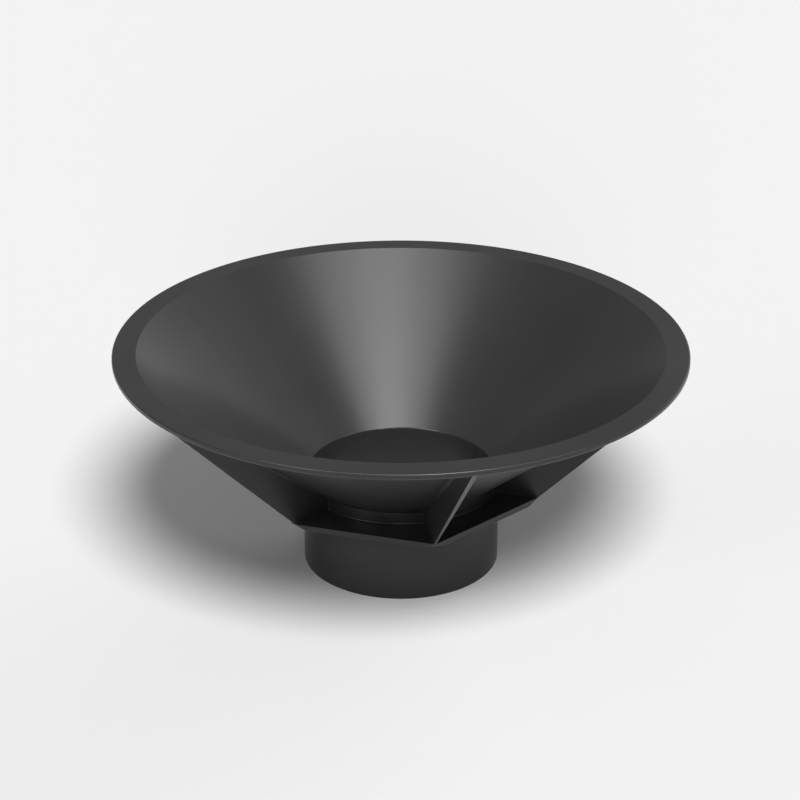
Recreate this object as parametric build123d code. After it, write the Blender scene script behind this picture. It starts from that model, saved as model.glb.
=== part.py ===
from build123d import *
import math
import os

# Resin funnel, moulded in one piece.
#
# A wide, shallow cone with a flat lip runs down into a short round spout. A hexagonal seat
# plate stands out from the neck, and six thin radial ribs tie the lip, the cone, the neck and
# the corners of the plate together. The spout goes into the neck of a vessel, the plate sits
# on the rim of that neck, and the ribs keep the cone stiff while resin beads are poured in.
#
# Frame: millimetres, +Z up along the funnel's axis, origin at the centre of the spout's
# lower end. Two of the six ribs lie in the YZ plane.

# Lip and cone
rim_diameter = 184.0
lip_width = 7.6
lip_thickness = 1.8
lip_fillet = 0.5
cone_depth = 44.0
cone_wall = 1.3

# Spout and neck
bore_diameter = 60.0
spout_wall = 2.0
spout_reach = 25.1
neck_height = 4.0
throat_fillet = 0.5

# Seat plate and ribs
seat_across_flats = 80.4
seat_thickness = 1.9
rib_count = 6
rib_thickness = 1.6
foot_fillet = 0.5

# A pocket's upright corners at the neck are rounder than its foot, so that the rounding
# at the foot can run round them
corner_ratio = 1.3

# How far a cutting solid runs past the faces that it has to clear
cut_clearance = 5.0

# Two places closer together than this are the same place
same_place = 0.001

# Radii
rim_radius = rim_diameter / 2
lip_inner_radius = rim_radius - lip_width
bore_radius = bore_diameter / 2
spout_radius = bore_radius + spout_wall
cut_radius = rim_radius + cut_clearance
neck_corner_radius = foot_fillet * corner_ratio

# Levels, from the spout's lower end upwards
seat_bottom = spout_reach
seat_top = seat_bottom + seat_thickness
throat_level = seat_top + neck_height
rim_level = throat_level + cone_depth
lip_underside = rim_level - lip_thickness

# Where the outside of the cone's wall meets the neck, and where it meets the lip
cone_slope = cone_depth / (lip_inner_radius - bore_radius)
cone_wall_drop = cone_wall / math.cos(math.atan(cone_slope))
neck_top = throat_level + spout_wall * cone_slope - cone_wall_drop
cone_apex = neck_top - spout_radius * cone_slope
cone_edge_radius = (lip_underside - cone_apex) / cone_slope

# A rib is a thin wedge, thickest at the rim, whose two faces run to the funnel's axis.
# A pocket is the space between two ribs.
rib_angle = math.degrees(rib_thickness / rim_radius)
pocket_angle = 360 / rib_count - rib_angle

# The seat plate's corners lie where its sides meet the faces of the ribs
seat_half_width = seat_across_flats / 2
seat_corner_radius = seat_half_width / math.cos(math.radians(pocket_angle / 2))

# Centre of the rounding under the lip's outer edge. The ribs' outer edge leaves that
# rounding as a tangent and runs down to the corner of the seat plate.
round_radius = rim_radius - lip_fillet
round_level = lip_underside + lip_fillet
corner_to_round = math.hypot(round_radius - seat_corner_radius, round_level - seat_top)
climb_to_round = math.atan2(round_level - seat_top, round_radius - seat_corner_radius)
rib_climb = climb_to_round - math.asin(lip_fillet / corner_to_round)
plate_corner_radius = seat_corner_radius - seat_thickness / math.tan(rib_climb)


def funnel_block():
    """The funnel with its bore and cone open, still solid between the ribs."""
    with BuildPart() as block:
        with BuildSketch(Plane.XZ) as section:
            with BuildLine():
                inside = Polyline(
                    (spout_radius, seat_bottom),
                    (spout_radius, 0),
                    (bore_radius, 0),
                    (bore_radius, throat_level),
                    (lip_inner_radius, rim_level),
                    (round_radius, rim_level),
                )
                top_round = JernArc(inside @ 1, (1, 0), lip_fillet, -90)
                edge = Line(top_round @ 1, (rim_radius, round_level))
                lower_turn = 90 - math.degrees(rib_climb)
                lower_round = JernArc(edge @ 1, (0, -1), lip_fillet, -lower_turn)
                Polyline(
                    lower_round @ 1,
                    (plate_corner_radius, seat_bottom),
                    (spout_radius, seat_bottom),
                )
            make_face()
            throat = section.vertices().sort_by_distance((bore_radius, throat_level))[0]
            fillet(throat, throat_fillet)
        revolve(axis=Axis.Z)
    return block.part


def between_ribs(outline):
    """The space between two ribs that has this outline, seen along the funnel's edge."""
    with BuildPart() as space:
        with BuildSketch(Plane.XZ):
            with BuildLine():
                Polyline(*outline, close=True)
            make_face()
        revolve(axis=Axis.Z, revolution_arc=pocket_angle)
    return space.part


def is_inner(edge):
    """True for an edge that doesn't lie on the outside of a cutting solid."""
    middle = edge @ 0.5
    return math.hypot(middle.X, middle.Y) < cut_radius - same_place


def space_beside_neck():
    """The lower part of a pocket, rounded where the neck, the ribs and the seat plate meet."""
    space = between_ribs([
        (spout_radius, seat_top),
        (spout_radius, neck_top),
        (cut_radius, neck_top),
        (cut_radius, seat_top),
    ])
    neck_corners = space.edges().filter_by(Axis.Z).filter_by(is_inner)
    space = fillet(neck_corners, neck_corner_radius)
    foot = space.edges().group_by(Axis.Z)[0].filter_by(is_inner)
    return fillet(foot, foot_fillet)


def corner_web(level):
    """Section at this level of the web in the corner between the cone and a rib.

    The web rounds the corner from the neck to the lip. Its radius grows in step with the
    cone's, so it is a narrow cone with the same apex. The section runs on into the cone
    and the rib, where nothing is cut.
    """
    growth = (level - cone_apex) / (neck_top - cone_apex)
    cone_radius = spout_radius * growth
    web_radius = neck_corner_radius * growth
    along_rib = math.sqrt((cone_radius + web_radius) ** 2 - web_radius ** 2)
    turn = math.atan2(web_radius, along_rib)
    inside = cone_radius - web_radius
    with BuildSketch(Plane.XY.offset(level)) as section:
        with BuildLine():
            hidden_side = Polyline(
                (along_rib, 0),
                (along_rib, -web_radius),
                (inside, -web_radius),
                (inside * math.cos(turn), inside * math.sin(turn)),
                (cone_radius * math.cos(turn), cone_radius * math.sin(turn)),
            )
            RadiusArc(hidden_side @ 1, hidden_side @ 0, -web_radius)
        make_face()
    return section.sketch


def space_beside_cone():
    """The upper part of a pocket, rounded where the cone and the ribs meet."""
    space = between_ribs([
        (spout_radius, neck_top),
        (cone_edge_radius, lip_underside),
        (cut_radius, lip_underside),
        (cut_radius, neck_top),
    ])
    web_levels = (neck_top - cut_clearance, lip_underside + cut_clearance)
    web = loft([corner_web(level) for level in web_levels], ruled=True)
    return space - web - Rot(0, 0, pocket_angle) * mirror(web, Plane.XZ)


def pocket_cutter():
    """The space between two ribs, from the seat plate up to the lip."""
    pocket = space_beside_neck() + space_beside_cone()
    return Rot(0, 0, -pocket_angle / 2) * pocket


def seat_side_cutter():
    """The space beside one flat side of the seat plate, as high as the rounding at its foot."""
    half_slope = math.tan(math.radians(pocket_angle / 2))
    with BuildPart() as cutter:
        with BuildSketch(Plane.XY.offset(seat_bottom - cut_clearance)):
            with BuildLine():
                Polyline(
                    (seat_half_width, -seat_half_width * half_slope),
                    (cut_radius, -cut_radius * half_slope),
                    (cut_radius, cut_radius * half_slope),
                    (seat_half_width, seat_half_width * half_slope),
                    close=True,
                )
            make_face()
        extrude(amount=cut_clearance + seat_thickness + foot_fillet)
    return cutter.part


def funnel():
    """One moulding: lip, cone, neck, spout, seat plate and ribs."""
    pocket = pocket_cutter()
    seat_side = seat_side_cutter()
    moulding = funnel_block()
    for turn in PolarLocations(0, rib_count):
        moulding -= turn * pocket
        moulding -= turn * seat_side
    return moulding


os.makedirs("parts", exist_ok=True)
export_step(funnel(), "parts/funnel.step")
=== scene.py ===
# %% [markdown]
# # A moulded resin funnel
#
# A resin funnel guides small beads into the narrow neck of a vessel. This one is a single
# injection moulding: a wide cone with a flat lip, a short spout, a hexagonal seat plate that
# sits on the vessel's neck, and six thin ribs that keep the cone stiff. Its shape is exact in
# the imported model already, so nothing is modelled over it here. What is left to do is its
# skin, a floor to stand on, the camera, and the light that shows its form.

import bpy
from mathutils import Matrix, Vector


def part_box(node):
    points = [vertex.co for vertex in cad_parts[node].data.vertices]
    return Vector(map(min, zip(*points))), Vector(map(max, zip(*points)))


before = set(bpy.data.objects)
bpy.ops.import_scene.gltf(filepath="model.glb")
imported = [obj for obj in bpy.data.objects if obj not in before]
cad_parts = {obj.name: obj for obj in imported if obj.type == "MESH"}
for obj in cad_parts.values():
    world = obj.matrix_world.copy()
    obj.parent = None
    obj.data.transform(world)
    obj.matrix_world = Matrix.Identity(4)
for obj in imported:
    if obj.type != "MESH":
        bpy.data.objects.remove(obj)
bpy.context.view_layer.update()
print("nodes in the frame:", sorted(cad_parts))

# %% [markdown]
# The sizes that the rest of the script needs are read from the frame and not typed in. The
# rim's radius sets how far away the camera stands, and the funnel's height says how high the
# rim is above the floor. If the part changes size, the picture follows.

# %% Measure the funnel
import math

import bmesh
import bpy
from mathutils import Matrix, Vector

MM = 0.001

funnel_low, funnel_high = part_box("funnel")
rim_radius = (funnel_high.x - funnel_low.x) / 2
rim_height = funnel_high.z
print(f"rim {2 * rim_radius / MM:.1f} mm across, {rim_height / MM:.1f} mm above the floor")

# %% [markdown]
# Colours are picked as people see them, as sRGB hex values, but Cycles works in linear
# light. One function turns one into the other, so every colour in the script can be written
# the way a plastic sample is read. Its curve is that of the sRGB standard: a straight line
# up to the knee and a power above it.

# %% Turn a hex colour into linear light
SRGB_KNEE, SRGB_SLOPE = 0.04045, 12.92
SRGB_OFFSET, SRGB_POWER = 0.055, 2.4


def linear_channel(channel):
    """The linear light of one sRGB channel, both from 0 to 1."""
    if channel <= SRGB_KNEE:
        return channel / SRGB_SLOPE
    return ((channel + SRGB_OFFSET) / (1 + SRGB_OFFSET)) ** SRGB_POWER


def linear_colour(hex_code):
    """The linear RGBA of an sRGB hex colour such as #292929."""
    channels = [int(hex_code[start:start + 2], 16) / 255 for start in (1, 3, 5)]
    return (*map(linear_channel, channels), 1.0)


print("charcoal in linear light:", [round(c, 4) for c in linear_colour("#292929")])

# %% [markdown]
# A material is a small graph of nodes. Adding a node always takes the same three steps: make
# it, set what is fixed, and link what varies. One helper does all three, so each material
# below reads as a list of what it is made of.

# %% Add a node with its settings and links
def add_node(tree, kind, settings, **links):
    """Add one node; a setting is an option or an input, a link joins an input to an output."""
    node = tree.nodes.new(kind)
    for name, value in settings.items():
        if name in node.inputs:
            node.inputs[name].default_value = value
        else:
            setattr(node, name, value)
    for name, output in links.items():
        tree.links.new(output, node.inputs[name.replace("_", " ")])
    return node


def new_material(name):
    """An empty node material and its tree."""
    material = bpy.data.materials.new(name)
    material.use_nodes = True
    material.node_tree.nodes.clear()
    return material, material.node_tree


print("helpers:", add_node.__name__, new_material.__name__)

# %% [markdown]
# ## The plastic
#
# The funnel is taken for polypropylene with carbon black in it, moulded in steel with a
# satin finish. To the eye that is a charcoal surface with one soft, milky streak of light
# and no sharp reflection. A flat grey would look like paint, so three things vary: the
# pigment, the gloss and the fine grain.
#
# Each is a noise texture. They could be wrapped on with a UV map, but a moulding has no
# weave or grain that follows its form, so the noise is read in the part's own space, from
# its Object coordinates. There it stays put when the part or the camera moves.

# %% Start the plastic
plastic, plastic_tree = new_material("satin_moulded_polypropylene")
place = add_node(plastic_tree, "ShaderNodeTexCoord", {}).outputs["Object"]

# Nearly all values of a noise texture lie between these two
NOISE_LOW, NOISE_HIGH = 0.3, 0.7
print("started", plastic.name)

# %% [markdown]
# ### Pigment
#
# Carbon black is mixed into the melt, and the mix is never quite even: over a few
# centimetres the grey drifts by a shade. The drift is kept so weak that it is felt and not
# seen. The detail of a noise says how many finer layers lie over its first one, and two are
# enough for a slow drift.

# %% Let the grey drift
PIGMENT_PATCH = 45 * MM
PIGMENT_DETAIL = 2.0
CHARCOAL_SHADES = ("#272727", "#2b2b2b")

pigment = add_node(plastic_tree, "ShaderNodeTexNoise",
                   {"Scale": 1 / PIGMENT_PATCH, "Detail": PIGMENT_DETAIL}, Vector=place)
charcoal = add_node(plastic_tree, "ShaderNodeValToRGB", {}, Fac=pigment.outputs["Fac"])
stops = zip(charcoal.color_ramp.elements, (NOISE_LOW, NOISE_HIGH), CHARCOAL_SHADES)
for stop, position, shade in stops:
    stop.position = position
    stop.color = linear_colour(shade)
print("charcoal from", CHARCOAL_SHADES[0], "to", CHARCOAL_SHADES[1])

# %% [markdown]
# ### Gloss
#
# The melt shrinks off the steel a little sooner in one place than in another, so the gloss
# wanders too. How far the streak spreads sets the roughness, and on this part that asks for
# a little less than 0.3. The lower end stays above 0.275: under that, the denoiser takes
# the skin for a mirror and leaves a faint outline where it starts to.

# %% Let the gloss wander
GLOSS_PATCH = 28 * MM
GLOSS_DETAIL = 3.0
ROUGHNESS_LOW, ROUGHNESS_HIGH = 0.276, 0.292

gloss_patches = add_node(plastic_tree, "ShaderNodeTexNoise",
                         {"Scale": 1 / GLOSS_PATCH, "Detail": GLOSS_DETAIL}, Vector=place)
gloss = add_node(plastic_tree, "ShaderNodeMapRange",
                 {"From Min": NOISE_LOW, "From Max": NOISE_HIGH,
                  "To Min": ROUGHNESS_LOW, "To Max": ROUGHNESS_HIGH},
                 Value=gloss_patches.outputs["Fac"])
print("roughness from", ROUGHNESS_LOW, "to", ROUGHNESS_HIGH)

# %% [markdown]
# ### Grain
#
# The satin of a steel mould is a grain of less than a tenth of a millimetre, too fine for a
# pixel of the picture, which covers about a third of a millimetre. The roughness above
# already stands for it. The bump below repeats it a few times coarser, just deep enough
# that the skin isn't glassy when the camera comes near. How the real grain looks from there
# is a guess, because the photograph can't show it.

# %% Add the grain
GRAIN_WIDTH = 0.35 * MM
GRAIN_DEPTH = 0.001 * MM
GRAIN_DETAIL = 2.0

grain = add_node(plastic_tree, "ShaderNodeTexNoise",
                 {"Scale": 1 / GRAIN_WIDTH, "Detail": GRAIN_DETAIL}, Vector=place)
relief = add_node(plastic_tree, "ShaderNodeBump", {"Strength": 1.0, "Distance": GRAIN_DEPTH},
                  Height=grain.outputs["Fac"])
print(f"grain {GRAIN_WIDTH / MM:.2f} mm wide, {GRAIN_DEPTH / MM:.3f} mm deep")

# %% [markdown]
# ### Skin
#
# One Principled shader takes the three. It isn't metal, and its IOR starts from 1.49, the
# value for polypropylene. At that value the spout mirrors too much of the pale card. The IOR
# is lowered to 1.381, with which the same lamps leave the spout, the pockets between the
# ribs and the cone close to the photograph's tones. It is the same all over, so it is set on
# the shader's own socket.

# %% Finish the plastic and dress the funnel
SKIN_IOR = 1.381

skin = add_node(plastic_tree, "ShaderNodeBsdfPrincipled", {"IOR": SKIN_IOR},
                Base_Color=charcoal.outputs["Color"], Roughness=gloss.outputs["Result"],
                Normal=relief.outputs["Normal"])
add_node(plastic_tree, "ShaderNodeOutputMaterial", {}, Surface=skin.outputs["BSDF"])

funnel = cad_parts["funnel"]
funnel.data.materials.clear()
funnel.data.materials.append(plastic)
print("funnel wears", funnel.material_slots[0].name)

# %% [markdown]
# ## The floor
#
# The funnel stands on plain pale card, wide enough that its edge stays far behind. It could
# be a curved sweep, but every lamp below is far away, so a flat sheet is just as even. It is
# one face, made with a single bmesh operator, and no part of the product. Matt card has no
# gloss, so its specular level is zero. Its grey is part of the lighting too, because the card
# throws light up between the ribs.

# %% Lay the floor
FLOOR_HALF_WIDTH = 12.0
CARD_COLOUR = "#e5e5e6"
CARD_ROUGHNESS = 0.9

card, card_tree = new_material("matt_studio_card")
card_skin = add_node(card_tree, "ShaderNodeBsdfPrincipled",
                     {"Base Color": linear_colour(CARD_COLOUR),
                      "Roughness": CARD_ROUGHNESS, "Specular IOR Level": 0.0})
add_node(card_tree, "ShaderNodeOutputMaterial", {}, Surface=card_skin.outputs["BSDF"])

sheet = bmesh.new()
bmesh.ops.create_grid(sheet, x_segments=1, y_segments=1, size=FLOOR_HALF_WIDTH)
floor_mesh = bpy.data.meshes.new("studio_floor")
sheet.to_mesh(floor_mesh)
sheet.free()
floor_mesh.materials.append(card)
floor = bpy.data.objects.new("studio_floor", floor_mesh)
bpy.context.scene.collection.objects.link(floor)
print("floor reaches", FLOOR_HALF_WIDTH, "m each way")

# %% [markdown]
# ## The camera
#
# The photograph looks down at about 25 degrees through a long lens, so the rim is an ellipse
# with hardly any perspective. The camera's place was found by matching three outlines at
# once, the rim, the spout's lower end and the corners of the plate, and it is kept in rim
# radii. It is first placed straight in front of the funnel and then swung round the axis by
# the turn of the view, and the lamps will use the same turn. A camera with no rotation
# looks straight down, so it is tipped up by a quarter turn less the pitch of the view.

# %% Place the camera
VIEW_TURN = math.radians(-13.3)
VIEW_PITCH = math.radians(25.097)
CAMERA_BACK = 7.53765 * rim_radius
CAMERA_ABOVE_RIM = 3.31780 * rim_radius
CAMERA_ASIDE = -0.00352 * rim_radius
LENS_MM = 106.69
SENSOR_MM = 36
QUARTER_TURN = math.radians(90)

view_swing = Matrix.Rotation(VIEW_TURN, 3, "Z")

lens = bpy.data.cameras.new("photo_camera")
lens.lens = LENS_MM
lens.sensor_width = SENSOR_MM
camera = bpy.data.objects.new("photo_camera", lens)
stand = Vector((CAMERA_ASIDE, -CAMERA_BACK, rim_height + CAMERA_ABOVE_RIM))
camera.location = view_swing @ stand
camera.rotation_euler = (QUARTER_TURN - VIEW_PITCH, 0, VIEW_TURN)
bpy.context.scene.collection.objects.link(camera)
bpy.context.scene.camera = camera
print("camera stands at", [round(c, 3) for c in camera.location])

# %% [markdown]
# ## The light
#
# A black funnel shows its form by what it reflects, so each of its lamps has a job. The
# overhead pair and the key draw the streak down the back of the cone, and the high pair
# makes it fade slowly on both sides. The lamps behind the funnel light the flanks of the
# cone. The one at the front left lights the cone's right side and the left edge of the
# spout, and the one at the side the spout's right edge. The spout and the pockets between
# the ribs get most of their light from the card, and the low lamp in front adds a little.
#
# Softboxes could be area lamps. A sun lamp with a wide angle is the same thing seen from
# far away: its shadow has a soft edge, and the card stays evenly bright however large it
# is. Each is given by where it hangs as seen from the camera, so the light could be turned
# with the view.
#
# The overhead lamps would also lay the wide shadow of the rim on the card, and in the
# photograph the shadow ends close in front of the spout. So the funnel and the floor have
# lamps of their own, as when black flags keep a lamp off the background. Light linking does
# it: a lamp lights only the objects in its receiver collection. The funnel still stands in
# the way of the floor's lamps, and the card still throws their light back up at the funnel.

# %% Hang one softbox
def lit_alone(subject):
    """A receiver collection that keeps a lamp's light on one object."""
    receivers = bpy.data.collections.new(f"light_for_{subject.name}")
    receivers.objects.link(subject)
    return receivers


def hang_softbox(name, receivers, side, height, width, strength):
    """A far softbox: side, height and width are in degrees, as seen from the camera's side."""
    lamp = bpy.data.lights.new(name, "SUN")
    lamp.angle = math.radians(width)
    lamp.energy = strength
    holder = bpy.data.objects.new(name, lamp)
    turn, rise = math.radians(side), math.radians(height)
    towards = Vector((math.sin(turn) * math.cos(rise), -math.cos(turn) * math.cos(rise),
                      math.sin(rise)))
    holder.rotation_mode = "QUATERNION"
    holder.rotation_quaternion = (view_swing @ towards).to_track_quat("Z", "Y")
    holder.light_linking.receiver_collection = receivers
    bpy.context.scene.collection.objects.link(holder)


print("softboxes turn with the view by", round(math.degrees(VIEW_TURN), 1), "degrees")

# %% [markdown]
# ### On the funnel
#
# The lamps were first tried one at a time, and their places and strengths were then balanced
# so that the tones in the cone, on the lip, between the ribs and on the spout came close to
# the photograph's. The side of a lamp is counted from the camera's, positive to the right,
# and past 90 degrees either way the lamp is behind the funnel.

# %% Light the funnel
FUNNEL_SOFTBOXES = {
    # name: (side, height, width, strength)
    "key": (24, 57, 18, 2.50),
    "overhead_left": (-20, 75, 16, 0.344),
    "overhead_right": (20, 75, 16, 0.57),
    "high_left": (-45, 70, 16, 0.251),
    "high_right": (60, 68, 18, 0.459),
    "side_right": (72, 40, 24, 0.591),
    "front_left": (-45, 38, 22, 1.26),
    "low_front": (0, 24, 22, 0.285),
    "low_back_right": (150, 18, 40, 0.272),
    "low_back_left": (-158, 24, 50, 0.076),
    "back_right": (129, 42, 24, 0.084),
}

on_funnel = lit_alone(funnel)
for name, placing in FUNNEL_SOFTBOXES.items():
    hang_softbox(name, on_funnel, *placing)
print("on the funnel:", ", ".join(FUNNEL_SOFTBOXES))

# %% [markdown]
# ### On the floor
#
# One lamp does most of the work here: it stands close to the funnel's key and throws the
# soft shadow back and a little to the left. Light that only grazes the card fills that shadow
# from three sides.

# %% Light the floor
FLOOR_SOFTBOXES = {
    # name: (side, height, width, strength)
    "floor_key": (13, 54, 24, 3.41),
    "floor_graze_front": (0, 8, 22, 1.58),
    "floor_graze_left": (-67.5, 8, 22, 0.624),
    "floor_graze_back": (140, 14, 40, 0.856),
}

on_floor = lit_alone(floor)
for name, placing in FLOOR_SOFTBOXES.items():
    hang_softbox(name, on_floor, *placing)
print("on the floor:", ", ".join(FLOOR_SOFTBOXES))

# %% [markdown]
# ## The room
#
# Between the lamps a studio is dim but not black, and a weak white world stands for it: it
# lifts the deepest corners under the cone. From low angles the camera sees that world above
# the card, where it would be a dark band, so the rays that go from the camera straight to
# it see it as pale as the card. The plain Standard view keeps the tones as the lamps give
# them.

# %% Fill the room
ROOM_LIGHT = 0.1
ROOM_PALE = 0.9

world = bpy.data.worlds.new("studio_room")
world.use_nodes = True
world.node_tree.nodes.clear()
rays = add_node(world.node_tree, "ShaderNodeLightPath", {})
strength = add_node(world.node_tree, "ShaderNodeMapRange",
                    {"To Min": ROOM_LIGHT, "To Max": ROOM_PALE},
                    Value=rays.outputs["Is Camera Ray"])
room = add_node(world.node_tree, "ShaderNodeBackground", {"Color": linear_colour("#ffffff")},
                Strength=strength.outputs["Result"])
add_node(world.node_tree, "ShaderNodeOutputWorld", {}, Surface=room.outputs["Background"])
bpy.context.scene.world = world
bpy.context.scene.view_settings.view_transform = "Standard"
print("room light", ROOM_LIGHT)
